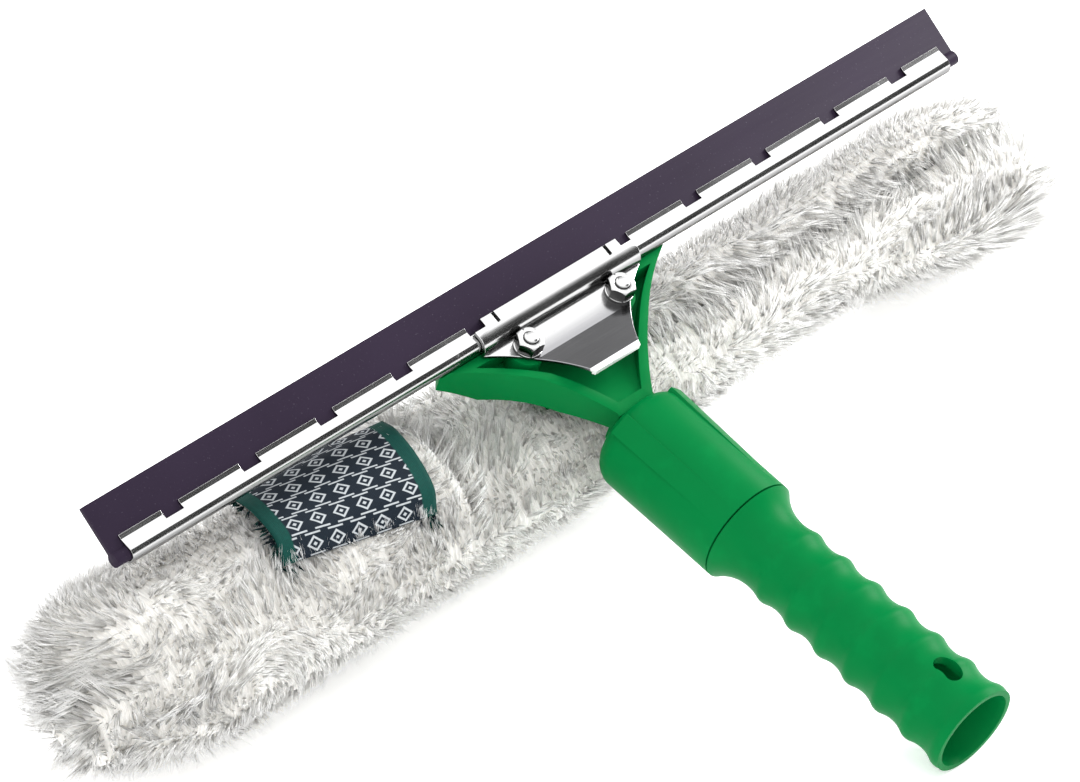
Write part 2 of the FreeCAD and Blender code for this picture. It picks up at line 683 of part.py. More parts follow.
def all_pieces():
    cap = make_bar_cap()
    return {
        "grip": make_grip(),
        "socket": make_socket(),
        "socket_screw": make_socket_screw(),
        "yoke": make_yoke(),
        "clamp_plate": make_clamp_plate(),
        "clamp_bolt_left": make_bolt(-half_bolts),
        "clamp_bolt_right": make_bolt(half_bolts),
        "washer_left": make_washer(-half_bolts),
        "washer_right": make_washer(half_bolts),
        "nut_left": make_nut(-half_bolts),
        "nut_right": make_nut(half_bolts),
        "blade_channel": make_channel(),
        "rubber_blade": make_rubber(),
        "t_bar": make_t_bar(),
        "bar_cap_left": mirrored(cap),
        "bar_cap_right": cap,
        "washer_sleeve": make_sleeve(),
        "sleeve_binding": make_binding(),
        "hook_strip": make_strip(-1),
        "loop_strip": make_strip(1),
        "sleeve_label": make_label(),
    }


def report_places(rest):
    """Print the places and directions that joints and mounts use."""
    up = rest.Rotation.multVec(head_frame.Rotation.multVec(Z_AXIS))
    print("clamp direction", [round(value, 6) for value in up])
    for name, x in (("left", -half_bolts), ("right", half_bolts)):
        point = rest.multVec(head_frame.multVec(Vector(x, 0, nut_low)))
        print("nut", name, [round(value, 4) for value in point])
    mouth = rest.multVec(Vector(0, bore_mouth_length, 0))
    outward = rest.Rotation.multVec(-Y_AXIS)
    print("bore mouth", [round(value, 4) for value in mouth], "axis", [round(value, 6) for value in outward])
    slot = rest.multVec(Vector(0, slot_from_end, grip_end_radius))
    print("slot", [round(value, 4) for value in slot])


def main():
    os.makedirs("parts", exist_ok=True)
    pieces = all_pieces()
    laid = Placement(Vector(0, 0, rest_lift), rest_turn)
    box_laid = FreeCAD.BoundBox()
    for shape in pieces.values():
        box_laid.add(placed(shape, laid).optimalBoundingBox(False))
    rest = Placement(Vector(-box_laid.Center.x, -box_laid.Center.y, 0), Rotation()) * laid
    for name, shape in pieces.items():
        solid = placed(shape, rest)
        if not solid.isValid() or len(solid.Solids) != 1:
            raise RuntimeError(f"{name}: valid {solid.isValid()}, solids {len(solid.Solids)}")
        solid.exportStep(f"parts/{name}.step")
        print(name, round(solid.Volume, 1))
    print("box", box_laid, "moved by", rest.Base - laid.Base)
    report_places(rest)


if __name__ == "__main__":
    main()
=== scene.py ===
import json
import math
import random

import bmesh
import bpy
from bpy.props import FloatProperty, FloatVectorProperty, IntProperty, PointerProperty
from bpy.types import Operator, Panel, PropertyGroup
from mathutils import Matrix, Vector, noise
from mathutils.bvhtree import BVHTree


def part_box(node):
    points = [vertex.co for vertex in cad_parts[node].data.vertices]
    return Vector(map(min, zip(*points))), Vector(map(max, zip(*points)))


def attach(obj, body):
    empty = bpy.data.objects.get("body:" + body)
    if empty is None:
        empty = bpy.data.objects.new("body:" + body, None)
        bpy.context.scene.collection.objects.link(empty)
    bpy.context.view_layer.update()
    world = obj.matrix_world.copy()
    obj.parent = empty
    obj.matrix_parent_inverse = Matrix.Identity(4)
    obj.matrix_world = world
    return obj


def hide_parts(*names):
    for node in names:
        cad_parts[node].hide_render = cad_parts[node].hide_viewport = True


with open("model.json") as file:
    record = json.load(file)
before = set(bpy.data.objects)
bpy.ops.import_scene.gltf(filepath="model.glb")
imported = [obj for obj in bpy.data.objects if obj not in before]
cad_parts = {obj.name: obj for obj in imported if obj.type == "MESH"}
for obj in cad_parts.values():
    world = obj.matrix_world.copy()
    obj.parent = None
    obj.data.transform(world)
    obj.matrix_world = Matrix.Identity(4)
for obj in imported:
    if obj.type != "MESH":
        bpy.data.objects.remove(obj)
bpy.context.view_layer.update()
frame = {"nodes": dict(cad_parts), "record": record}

bl_info = {
    "name": "Window Scrubber",
    "version": (1, 0, 0),
    "blender": (4, 5, 0),
    "location": "View3D > Sidebar > Scrubber",
    "description": "Dresses a window scrubber: moulded handle, steel clamp, rubber blade and plush sleeve",
    "category": "Object",
}

# Places read from the frame, in metres
MM = 0.001
BAR_LOW, BAR_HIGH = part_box("bar_cap_right")
BAR_Y = (BAR_LOW.y + BAR_HIGH.y) / 2
BAR_Z = (BAR_LOW.z + BAR_HIGH.z) / 2
BAR_RADIUS = (BAR_HIGH.z - BAR_LOW.z) / 2
SLEEVE_LOW, SLEEVE_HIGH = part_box("washer_sleeve")
SLEEVE_RADIUS = BAR_Z - SLEEVE_LOW.z
LABEL_LOW, LABEL_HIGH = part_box("sleeve_label")
HEAD_UP = tuple(frame["record"]["behaviour"]["joints"][0]["axis"])

# Sleeve's fabric: angles go round the bar, up from the handle's side
SLIT = math.radians(75.6)           # side on which the slit opens
SLIT_HALF = 5.4 * MM
SLIT_DRAWN = 1.2 * MM               # half gap once the lips have drawn together
LIP_REACH = 0.4                     # angle past a lip over which the fabric follows it
STEM_END = 12 * MM
STATIONS, TURNS = 97, 120           # places along and round the sleeve at which its solid is measured
BRIDGE = 6                          # turns on either side of the slit over which the measure is bridged
OUTSIDE = 100 * MM                  # farther from the bar than the sleeve reaches
BORE_GAP = 0.4 * MM
SKIN_LEAST = 1.8 * MM               # least thickness of the fabric on the bar
SKIN_HELD = 2.0 * MM                # thickness round the bore that the simulation holds
SWELL_FRAMES = 14
FURROW = math.radians(64)           # soft furrow over the slit, right of the stem
FURROW_HALF = math.radians(24)
FURROW_DEPTH = 4.5 * MM
FURROW_GROWS = (30 * MM, 65 * MM)   # stretch over which it deepens, right of the stem
CREST = 3.5 * MM                    # fuller form towards the blade, left of the stem
CREST_SIDE = math.radians(130)
CREST_GROWS = (25 * MM, 60 * MM)    # stretch over which it rises, left of the stem
YOKE_HALF = 56 * MM                 # stretch and side that the yoke presses down
YOKE_SIDE = (0.1, 2.3)              # angles between which it presses
YOKE_ROOM = 28.5 * MM               # farthest from the bar that the pile reaches there

# Pile
CLUMP = 1.8 * MM                    # how far clumps stand out or in
PILE_PROUD = 0.6 * MM               # how far the tips stand past the solid
TAIL = math.radians(-35)            # side of the open end where the longest tuft hangs
TUFT = Vector((1.0, -1.0, -0.1))    # way in which that tuft points
TUFT_LENGTH = 13 * MM
TUFT_GROWS = (170 * MM, 190 * MM)
END_PILE = 20.5 * MM                # farthest that the pile stands past the ends
END_LENGTH = 8 * MM                 # extra length of the locks that face an end
END_MARGIN = 1.5 * MM               # bare ring round the bore at the open end
BRUSH_GROWS = (20 * MM, 190 * MM)   # stretch over which the pile leans more towards an end
LEAST_STAND = 2.5 * MM
LONGEST, LONGEST_TUFT = 19 * MM, 27 * MM        # longest lock, and longest one in the tuft
FLOOR_GAP, FLOOR_RAGGED = 1.2 * MM, 1.8 * MM    # least height of a tip, and how much it varies
ROOT_SUNK = 0.08                    # share of a lock that is sunk in the fabric
PILE_BANDS = 10
LOCK_SHAPES = 8
LOCK_STRANDS = 4

# Label
LABEL_SHIFT = -3 * MM               # from the middle of the label's solid, along the sleeve
LABEL_SIDE = math.radians(84)
LABEL_LIFT = 0.8 * MM
LABEL_THICKNESS = 0.6 * MM
LABEL_WAVE = 0.7 * MM
LABEL_CLEAR = 2.2 * MM              # room between the pressed pile and the label
FRONT_DROOP, BACK_DROOP = 3.4 * MM, 1.2 * MM    # how far its lower and its back edge sink
SIDE_THREADS, CORNER_THREADS, FALLEN_LOCKS = 34, 14, 46
THREAD_HALF, FALLEN_HALF = 0.24 * MM, 0.14 * MM     # half thickness of a thread and of a fallen lock

# Solids
MERGE = 0.002 * MM                  # distance within which a solid's corners are joined
ROUNDED = math.radians(38)          # edges turned by more than this are rounded
CREASE = 32                         # edges turned by more degrees than this are shaded sharp
BEYOND = -1.0                       # a y that no piece reaches
# On the plate a painted highlight runs up to the hem and painted shade starts at the bend.
PLATE_HEM, PLATE_BEND = 1.9 * MM, 14.5 * MM     # from the edge of the plate's tail
PLATE_CREASE, PLATE_FOLD = 20, (9, 12)          # degrees, the second for the plate's shallow bend
CHANNEL_CREASE = 13                 # degrees

# Stage
PICTURE_MIDDLE = Vector((8.1, 85.8, 35.6)) * MM
KEY_PLACE = (1.6, -0.2, 0.9)
KEY_SIZE = 1.0
LIT_PLACE = Vector((0, 0, 0.04))
FLOOR_HALF = 6.0


class MouldingSettings(PropertyGroup):
    """Green moulded pieces."""
    colour: FloatVectorProperty(name="Green", description="Colour of the moulded plastic",
                                subtype="COLOR", size=3, min=0, max=1, default=(0.0003, 0.155, 0.0355))
    edge: FloatProperty(name="Edge round", description="Rounding of the moulding's edges",
                        subtype="DISTANCE", unit="LENGTH", default=0.7 * MM)
    roughness: FloatProperty(name="Roughness", description="How dull the plastic is", subtype="FACTOR",
                             min=0, max=1, default=0.36)


class SteelSettings(PropertyGroup):
    """Clamp, fasteners and channel."""
    colour: FloatVectorProperty(name="Steel", description="Colour of the steel's reflection",
                                subtype="COLOR", size=3, min=0, max=1, default=(0.64, 0.64, 0.64))
    roughness: FloatProperty(name="Roughness", description="How dull the rolled steel is", subtype="FACTOR",
                             min=0, max=1, default=0.16)
    edge: FloatProperty(name="Edge round", description="Rounding of the pressed edges", subtype="DISTANCE",
                        unit="LENGTH", default=0.25 * MM)


class RubberSettings(PropertyGroup):
    """Wiping rubber."""
    colour: FloatVectorProperty(name="Rubber", description="Colour of the rubber", subtype="COLOR",
                                size=3, min=0, max=1, default=(0.022, 0.015, 0.029))
    edge: FloatProperty(name="Edge round", description="Rounding of the rubber's edges", subtype="DISTANCE",
                        unit="LENGTH", default=0.2 * MM)


class SleeveSettings(PropertyGroup):
    """Plush sleeve: its padded body and its pile."""
    colour: FloatVectorProperty(name="Pile", description="Colour of the pile", subtype="COLOR",
                                size=3, min=0, max=1, default=(0.990, 0.974, 0.938))
    pile: FloatProperty(name="Pile", description="How far the pile stands from the fabric",
                        subtype="DISTANCE", unit="LENGTH", default=5.5 * MM)
    spacing: FloatProperty(name="Spacing", description="Distance between neighbouring locks",
                           subtype="DISTANCE", unit="LENGTH", default=1.85 * MM)
    strand: FloatProperty(name="Strand", description="Half thickness of a strand at its root",
                          subtype="DISTANCE", unit="LENGTH", default=0.13 * MM)
    voxel: FloatProperty(name="Voxel", description="Mesh size of the padded body",
                         subtype="DISTANCE", unit="LENGTH", default=4 * MM)
    pressure: FloatProperty(name="Pressure", description="Pressure that swells the padded body",
                            default=4.0)
    swell: FloatProperty(name="Swell", description="Most that a point may move as the body swells",
                         subtype="DISTANCE", unit="LENGTH", default=2.5 * MM)
    seed: IntProperty(name="Seed", description="Seed of the locks' places", default=11)


class LabelSettings(PropertyGroup):
    """Woven label on the sleeve."""
    margin: FloatVectorProperty(name="Margin", description="Colour of the side margins", subtype="COLOR",
                                size=3, min=0, max=1, default=(0.003, 0.050, 0.040))
    panel: FloatVectorProperty(name="Panel", description="Colour of the middle panel", subtype="COLOR",
                               size=3, min=0, max=1, default=(0.006, 0.011, 0.018))
    motif: FloatVectorProperty(name="Motif", description="Colour of the woven pattern", subtype="COLOR",
                               size=3, min=0, max=1, default=(0.46, 0.49, 0.51))
    width: FloatProperty(name="Width", description="Width of the label along the sleeve",
                         subtype="DISTANCE", unit="LENGTH", default=LABEL_HIGH.x - LABEL_LOW.x)
    height: FloatProperty(name="Height", description="Height of the label round the sleeve",
                          subtype="DISTANCE", unit="LENGTH", default=36.4 * MM)
    turn: FloatProperty(name="Turn", description="How far the label is sewn askew", subtype="ANGLE",
                        unit="ROTATION", default=math.radians(-11.5))
    seed: IntProperty(name="Seed", description="Seed of the loose threads' places", default=4)


class StageSettings(PropertyGroup):
    """Floor, light and camera."""
    floor: FloatVectorProperty(name="Floor", description="Colour of the floor", subtype="COLOR",
                               size=3, min=0, max=1, default=(0.94, 0.94, 0.94))
    key: FloatProperty(name="Key light", description="Power of the large soft light", subtype="POWER",
                       default=36.0)
    sky: FloatProperty(name="Surround", description="Strength of the light all round", default=1.80)
    azimuth: FloatProperty(name="Azimuth", description="Camera direction about Z", subtype="ANGLE",
                           unit="ROTATION", default=math.radians(-45.20))
    elevation: FloatProperty(name="Elevation", description="Camera height angle", subtype="ANGLE",
                             unit="ROTATION", default=math.radians(37.22))
    distance: FloatProperty(name="Distance", description="Camera to the middle of the picture",
                            subtype="DISTANCE", unit="LENGTH", default=2.260)
    lens: FloatProperty(name="Lens", description="Focal length on a 36 mm sensor", default=244.93)


class Value:
    """A shader value: arithmetic on it adds Math nodes to its material."""

    def __init__(self, paint, socket):
        self.paint = paint
        self.socket = socket

    def math(self, operation, first, second):
        return self.paint.value("ShaderNodeMath", {"operation": operation}, {0: first, 1: second})

    def __add__(self, other):
        return self.math("ADD", self, other)

    __radd__ = __add__

    def __sub__(self, other):
        return self.math("SUBTRACT", self, other)

    def __rsub__(self, other):
        return self.math("SUBTRACT", other, self)

    def __mul__(self, other):
        return self.math("MULTIPLY", self, other)

    __rmul__ = __mul__

    def __truediv__(self, other):
        return self.math("DIVIDE", self, other)

    def most(self, other):
        return self.math("MAXIMUM", self, other)

    def fraction(self):
        return self.math("FRACT", self, 0)

    def floor(self):
        return self.math("FLOOR", self, 0)

    def size(self):
        return self.math("ABSOLUTE", self, 0)

    def sine(self):
        return self.math("SINE", self, 0)

    def between(self, low, high):
        """0 at low, 1 at high, smooth between and level beyond."""
        settings = {"interpolation_type": "SMOOTHSTEP"}
        sockets = {"Value": self, "From Min": low, "From Max": high}
        return self.paint.value("ShaderNodeMapRange", settings, sockets)


class Paint:
    """The nodes of one material or world, with a method that adds any node to them."""

    def __init__(self, owner):
        owner.use_nodes = True
        self.owner = owner
        self.tree = owner.node_tree
        self.tree.nodes.clear()

    def add(self, kind, settings, sockets):
        node = self.tree.nodes.new(kind)
        for key, setting in settings.items():
            setattr(node, key, setting)
        for key, given in sockets.items():
            if isinstance(given, Value):
                self.tree.links.new(given.socket, node.inputs[key])
            else:
                node.inputs[key].default_value = given
        return node

    def value(self, kind, settings, sockets, output=0):
        return Value(self, self.add(kind, settings, sockets).outputs[output])

    def place(self, kind="Object"):
        return self.value("ShaderNodeTexCoord", {}, {}, kind)

    def split(self, vector):
        node = self.add("ShaderNodeSeparateXYZ", {}, {"Vector": vector})
        return [Value(self, socket) for socket in node.outputs]

    def noise(self, scale, detail, stretch=(1, 1, 1)):
        where = self.value("ShaderNodeMapping", {}, {"Vector": self.place(), "Scale": stretch})
        return self.value("ShaderNodeTexNoise", {}, {"Vector": where, "Scale": scale, "Detail": detail})

    def mix(self, factor, first, second):
        sockets = {0: factor, 6: first, 7: second}
        return self.value("ShaderNodeMix", {"data_type": "RGBA"}, sockets, 2)

    def along(self, vector, axis):
        """How far a vector points along an axis."""
        settings = {"operation": "DOT_PRODUCT"}
        return self.value("ShaderNodeVectorMath", settings, {0: vector, 1: axis}, "Value")

    def bump(self, height, depth, strength):
        sockets = {"Height": height, "Distance": depth, "Strength": strength}
        return self.value("ShaderNodeBump", {}, sockets)

    def finish(self, sockets):
        shader = self.add("ShaderNodeBsdfPrincipled", {}, sockets)
        self.add("ShaderNodeOutputMaterial", {}, {"Surface": Value(self, shader.outputs[0])})
        return self.owner


def shade(colour, amount):
    """The same colour, lighter or darker, with an alpha of 1."""
    return tuple(min(1.0, part * amount) for part in colour) + (1.0,)


def moulded_green(settings, name, dull):
    """Moulded plastic: a faint flow mottle, a fine grain and rubbed patches."""
    paint = Paint(bpy.data.materials.new(name))
    flow = paint.noise(38.0, 3.0)
    grain = paint.noise(2600.0, 2.0)
    rubbed = paint.noise(95.0, 5.0).between(0.52, 0.72)
    tone = paint.mix(flow, shade(settings.colour, 0.90), shade(settings.colour, 1.10))
    tone = paint.mix(rubbed * 0.16, tone, shade(settings.colour, 1.55))
    return paint.finish({
        "Base Color": tone,
        "Roughness": rubbed * 0.07 + grain * 0.05 + (settings.roughness + dull),
        "Normal": paint.bump(grain * 0.6 + flow * 0.4, 0.05 * MM, 0.35),
        "Specular IOR Level": 0.035,
    })


def rolled_steel(settings, name, along, flank_shade=1.0, hem=BEYOND, bend=BEYOND):
    """Rolled steel: fine lines along one direction, faint smears, and flanks painted darker as shaded
    reflection.

    It is brushed rougher and painted brighter, as a highlight, where y is below hem, and painted darker
    towards and below bend, as shade that stands in for its reflection.
    """
    paint = Paint(bpy.data.materials.new(name))
    stretch = tuple(0.02 if axis == along else 1.0 for axis in "XYZ")
    lines = paint.noise(2400.0, 3.0, stretch)
    smear = paint.noise(60.0, 4.0)
    spots = paint.noise(420.0, 2.0).between(0.68, 0.80)
    tone = paint.mix(lines, shade(settings.colour, 0.92), shade(settings.colour, 1.06))
    tone = paint.mix(spots * 0.25, tone, shade(settings.colour, 0.6))
    # Faces turned from HEAD_UP are painted darker: painted shade that stands in for the darker reflection
    # on the flanks.
    normal = paint.value("ShaderNodeNewGeometry", {}, {}, "Normal")
    top = paint.along(normal, HEAD_UP).between(0.35, 0.85)
    tone = paint.mix(top, shade(settings.colour, flank_shade), tone)
    y = paint.split(paint.place())[1]
    # Painted shade: the steel darkens towards and past the bend, standing in for its darker reflection
    # there.
    turned = 1 - y.between(bend, bend + 7 * MM)
    tone = paint.mix(turned * 0.5, tone, (0.02, 0.02, 0.04, 1.0))
    # Below the hem the steel is brushed rougher and painted brighter, as a painted highlight on its lip.
    brushed_hem_highlight = 1 - y.between(hem - 0.2 * MM, hem + 0.2 * MM)
    tone = paint.mix(brushed_hem_highlight, tone, shade(settings.colour, 1.4))
    return paint.finish({
        "Base Color": tone,
        "Metallic": 1.0,
        "Roughness": (lines * 0.07 + smear * 0.10 + spots * 0.1 + brushed_hem_highlight * 0.5
                      + (settings.roughness - 0.08)),
        "Normal": paint.bump(lines * 0.3 + smear * 0.7, 0.03 * MM, 0.25),
    })


def wiping_rubber(settings):
    """Smooth rubber: fine cut marks along the blade, a bloom that greys it in patches."""
    paint = Paint(bpy.data.materials.new("wiping_rubber"))
    cut = paint.noise(900.0, 3.0, (0.03, 1.0, 1.0))
    bloom = paint.noise(24.0, 5.0)
    dust = paint.noise(1500.0, 2.0).between(0.66, 0.78)
    tone = paint.mix(bloom, shade(settings.colour, 0.78), shade(settings.colour, 1.35))
    tone = paint.mix(dust * 0.12, tone, (0.30, 0.28, 0.33, 1.0))
    return paint.finish({
        "Base Color": tone,
        "Roughness": cut * 0.12 + bloom * 0.10 + 0.36,
        "Normal": paint.bump(cut, 0.05 * MM, 0.4),
        "Specular IOR Level": 0.05,
    })


def plush(settings, name, shade_dim, fuzz, gap_shade):
    """Pile: off-white, a little warmer and greyer in broad patches, each lock its own tone.

    Streaks of painted shade darken the gaps between fibres that lie along the sleeve, and a dimming factor
    paints the whole colour darker as shade under the pile.
    """
    paint = Paint(bpy.data.materials.new(name))
    broad = paint.noise(16.0, 3.0)
    lock = paint.noise(300.0, 2.0)
    fibre = paint.noise(1800.0, 2.0)
    clump = paint.noise(130.0, 3.0)
    fibre_gaps = paint.noise(1400.0, 3.0, (1.0, 0.13, 0.13)).between(0.36, 0.64)
    # The dimming factor paints the colour darker, as shade where the fabric lies under the pile.
    tone = paint.mix(broad, shade(settings.colour, 0.975 * shade_dim), shade(settings.colour, 1.02 * shade_dim))
    tone = paint.mix(lock.between(0.35, 0.65) * 0.14, tone, (0.93 * shade_dim, 0.91 * shade_dim, 0.87 * shade_dim, 1.0))
    # Painted shade: streaks darken the gaps between the lying fibres.
    tone = paint.mix(fibre_gaps * gap_shade, tone, shade(settings.colour, 0.55 * shade_dim))
    return paint.finish({
        "Base Color": tone,
        "Roughness": fibre * 0.2 + 0.72,
        "Normal": paint.bump(clump * 0.5 + fibre * 0.3 + fibre_gaps * 0.2, fuzz, 0.4),
        "Specular IOR Level": 0.1,
        "Subsurface Weight": 1.0,
        "Subsurface Radius": (1.0, 0.97, 0.92),
        "Subsurface Scale": 2.5 * MM,
    })


def woven_tape(name, colour):
    """Hem and fastening tape: a fine rib across and small hooks as grain."""
    paint = Paint(bpy.data.materials.new(name))
    x, z = paint.split(paint.place())[::2]
    rib = (x * (2 * math.pi / (0.9 * MM))).sine() * 0.5 + 0.5
    weft = (z * (2 * math.pi / (0.7 * MM))).sine() * 0.5 + 0.5
    grain = paint.noise(700.0, 3.0)
    tone = paint.mix(rib * weft * 0.5 + grain * 0.4, shade(colour, 0.78), shade(colour, 1.05))
    return paint.finish({
        "Base Color": tone,
        "Roughness": grain * 0.15 + 0.75,
        "Normal": paint.bump(rib * weft + grain * 0.3, 0.15 * MM, 0.6),
    })


def woven_label(settings):
    """Label cloth: plain green margins, a dark panel with rows of small hollow diamonds and bars."""
    paint = Paint(bpy.data.materials.new("woven_label"))
    where = paint.value("ShaderNodeUVMap", {"uv_map": "label"}, {})
    u, v = paint.split(where)[:2]
    pitch, rise = 8.2, 6.4              # distances between motifs, in millimetres as all sizes below
    across = u * (settings.width / MM)
    down = v * (settings.height / MM)
    warp = (across * (2 * math.pi / 0.55)).sine() * 0.5 + 0.5
    weft = (down * (2 * math.pi / 0.45)).sine() * 0.5 + 0.5
    fuzz = paint.noise(1300.0, 2.0)
    row = down / rise
    step = across / pitch + (row.floor() * 0.5).fraction()
    inside_x = (step.fraction() - 0.5).size() * pitch
    inside_y = (row.fraction() - 0.5).size() * rise
    rim = inside_x * 0.72 + inside_y
    diamond = rim.between(1.35, 1.55) * (1 - rim.between(2.05, 2.25))
    kernel = 1 - rim.between(0.45, 0.65)
    band = inside_y.between(2.45, 2.60) * (1 - inside_y.between(2.90, 3.05))
    stroke = band * (1 - inside_x.between(2.6, 2.8))
    mark = diamond.most(kernel).most(stroke)
    edge = (u - 0.5).size()
    panel = 1 - edge.between(0.405, 0.415)
    margin = paint.mix(fuzz, shade(settings.margin, 0.75), shade(settings.margin, 1.3))
    ground = paint.mix(fuzz, shade(settings.panel, 0.8), shade(settings.panel, 1.5))
    tone = paint.mix(panel, margin, ground)
    tone = paint.mix(mark * panel * (fuzz * 0.35 + 0.75), tone, shade(settings.motif, 1.0))
    return paint.finish({
        "Base Color": tone,
        "Roughness": fuzz * 0.15 + 0.62,
        "Normal": paint.bump(warp * weft * 0.6 + mark * panel * 0.5, 0.12 * MM, 0.7),
        "Specular IOR Level": 0.1,
        "Sheen Weight": 0.04,
    })


def loose_thread(settings):
    """Loose threads of the label: dark, each a little lighter or greener than the next."""
    paint = Paint(bpy.data.materials.new("loose_thread"))
    each = paint.noise(420.0, 2.0)
    fibre = paint.noise(2200.0, 2.0)
    tone = paint.mix(each.between(0.4, 0.6), shade(settings.panel, 0.8), shade(settings.margin, 0.7))
    return paint.finish({"Base Color": tone, "Roughness": fibre * 0.2 + 0.7, "Specular IOR Level": 0.1})


def plain_floor(settings):
    """Pale studio floor with the slightest unevenness, and a faint glow that thins out shadows."""
    paint = Paint(bpy.data.materials.new("studio_floor"))
    drift = paint.noise(2.0, 2.0)
    tone = paint.mix(drift, shade(settings.floor, 0.995), shade(settings.floor, 1.005))
    return paint.finish({
        "Base Color": tone,
        "Roughness": drift * 0.05 + 0.75,
        "Emission Color": (1.0, 1.0, 1.0, 1.0),
        "Emission Strength": 0.35,
    })


def new_piece(name, work, material, body):
    """Turn a bmesh into a piece that rides on a body."""
    mesh = bpy.data.meshes.new(name)
    work.to_mesh(mesh)
    work.free()
    mesh.materials.append(material)
    piece = bpy.data.objects.new(name, mesh)
    bpy.context.scene.collection.objects.link(piece)
    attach(piece, body)
    return piece


def body_of(node):
    """Body that a node belongs to."""
    groups = frame["record"]["behaviour"]["bodies"]
    return next(body for body, nodes in groups.items() if node in nodes)


def merged_solid(node):
    """A bmesh of a node's own solid, with its loose triangles joined at their corners."""
    work = bmesh.new()
    work.from_mesh(frame["nodes"][node].data)
    bmesh.ops.remove_doubles(work, verts=work.verts, dist=MERGE)
    return work


def dressed_copy(node, material, edge, segments=2, crease=CREASE, fold=(CREASE, 180)):
    """Piece made from a node's own solid, with joined faces, rounded edges and smooth shading.

    Edges turned by more degrees than crease, or by an angle within fold, stay sharp.
    """
    work = merged_solid(node)
    bmesh.ops.dissolve_limit(work, angle_limit=math.radians(0.5), verts=work.verts, edges=work.edges)
    sharp = [line for line in work.edges if line.is_manifold and line.calc_face_angle() > ROUNDED]
    bmesh.ops.bevel(work, geom=sharp, offset=edge, offset_type="OFFSET", segments=segments, profile=0.5,
                    affect="EDGES", material=-1, clamp_overlap=True, loop_slide=True)
    bmesh.ops.triangulate(work, faces=[face for face in work.faces if len(face.verts) > 4])
    for face in work.faces:
        face.smooth = True
    for line in work.edges:
        turn = math.degrees(line.calc_face_angle(0))
        line.smooth = turn <= crease and not fold[0] < turn < fold[1]
    piece = new_piece(node + "_dressed", work, material, body_of(node))
    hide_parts(node)
    return piece


def smooth_step(value, low, high):
    """0 at low, 1 at high, smooth between and level beyond."""
    share = min(1.0, max(0.0, (value - low) / (high - low)))
    return share * share * (3 - 2 * share)


def hump(value, centre, half):
    """1 at centre, 0 beyond half on either side, smooth between."""
    return 1 - smooth_step(abs(value - centre), 0, half)


def facing(angle, centre):
    """1 on the side at centre, 0 from a quarter turn away."""
    return max(0.0, math.cos(angle - centre))


def round_bar(point):
    """Distance along the bar, distance from its axis, and angle up from the handle's side."""
    y, z = point.y - BAR_Y, point.z - BAR_Z
    return point.x, math.hypot(y, z), math.atan2(z, -y)


def off_bar(x, radius, angle):
    """Point at a distance along the bar, a distance from its axis and an angle."""
    return Vector((x, BAR_Y - radius * math.cos(angle), BAR_Z + radius * math.sin(angle)))


def measure_sleeve():
    """Outer radius of the sleeve's own solid at stations along and round the bar, its slit bridged."""
    data = frame["nodes"]["washer_sleeve"].data
    corners = [vertex.co for vertex in data.vertices]
    tree = BVHTree.FromPolygons(corners, [face.vertices for face in data.polygons])
    table = []
    for station in range(STATIONS):
        x = SLEEVE_LOW.x + MM + (SLEEVE_HIGH.x - SLEEVE_LOW.x - 2 * MM) * station / (STATIONS - 1)
        ring = []
        for turn in range(TURNS):
            angle = 2 * math.pi * turn / TURNS
            start = off_bar(x, OUTSIDE, angle)
            hit = tree.ray_cast(start, off_bar(x, 0, angle) - start)[0]
            ring.append(round_bar(hit)[1])
        if x > -STEM_END - MM:
            middle = round(SLIT / (2 * math.pi) * TURNS)
            low, high = ring[middle - BRIDGE], ring[middle + BRIDGE]
            for step in range(1 - BRIDGE, BRIDGE):
                ring[middle + step] = low + (high - low) * (step + BRIDGE) / (2 * BRIDGE)
        table.append(ring)
    return table


SOLID = measure_sleeve()


def outer_radius(x, angle):
    """Outer radius of the sleeve's solid at a place along the bar and an angle round it."""
    along = (x - SLEEVE_LOW.x - MM) / (SLEEVE_HIGH.x - SLEEVE_LOW.x - 2 * MM) * (STATIONS - 1)
    along = min(STATIONS - 1.001, max(0.0, along))
    around = angle / (2 * math.pi) * TURNS % TURNS
    station, turn = int(along), int(around) % TURNS
    part, share = along - station, around - int(around)
    first, second = SOLID[station], SOLID[station + 1]
    after = (turn + 1) % TURNS
    near = first[turn] + (first[after] - first[turn]) * share
    far = second[turn] + (second[after] - second[turn]) * share
    return near + (far - near) * part


def crest(x, angle):
    """How far the sleeve stands fuller towards the blade, left of the stem."""
    return CREST * smooth_step(-x, *CREST_GROWS) * facing(angle, CREST_SIDE) ** 2


def pile_reach(x, angle):
    """Distance of the pile's tips from the bar's axis: the solid's own form, clumped and furrowed."""
    where = off_bar(x, 1.0, angle)
    clump = noise.noise(Vector((x * 55, where.y * 2.4, where.z * 2.4)))
    reach = outer_radius(x, angle) + crest(x, angle) + PILE_PROUD + CLUMP * clump
    reach -= FURROW_DEPTH * smooth_step(x, *FURROW_GROWS) * hump(angle, FURROW, FURROW_HALF)
    if abs(x) < YOKE_HALF and YOKE_SIDE[0] < angle < YOKE_SIDE[1]:
        reach = min(reach, YOKE_ROOM)
    return reach


def skin_radius(x, angle, pile):
    """Radius of the fabric's outside, from which the pile stands."""
    return max(BAR_RADIUS + SKIN_LEAST, pile_reach(x, angle) - pile)


def close_slit(x, radius, angle):
    """Angle of a place on the fabric once the slit's lips, right of the stem, have drawn together."""
    away = angle - SLIT
    if x < STEM_END or abs(away) > 2 * LIP_REACH:
        return angle
    lip = math.asin(min(1.0, SLIT_HALF / radius))
    drawn = (lip - math.asin(SLIT_DRAWN / radius)) * smooth_step(x, STEM_END, 2.5 * STEM_END)
    return angle - math.copysign(drawn * (1 - smooth_step(abs(away), lip, lip + LIP_REACH)), away)


def made_mesh(piece):
    """Mesh of a piece with its modifiers carried out."""
    graph = bpy.context.evaluated_depsgraph_get()
    return bpy.data.meshes.new_from_object(piece.evaluated_get(graph))


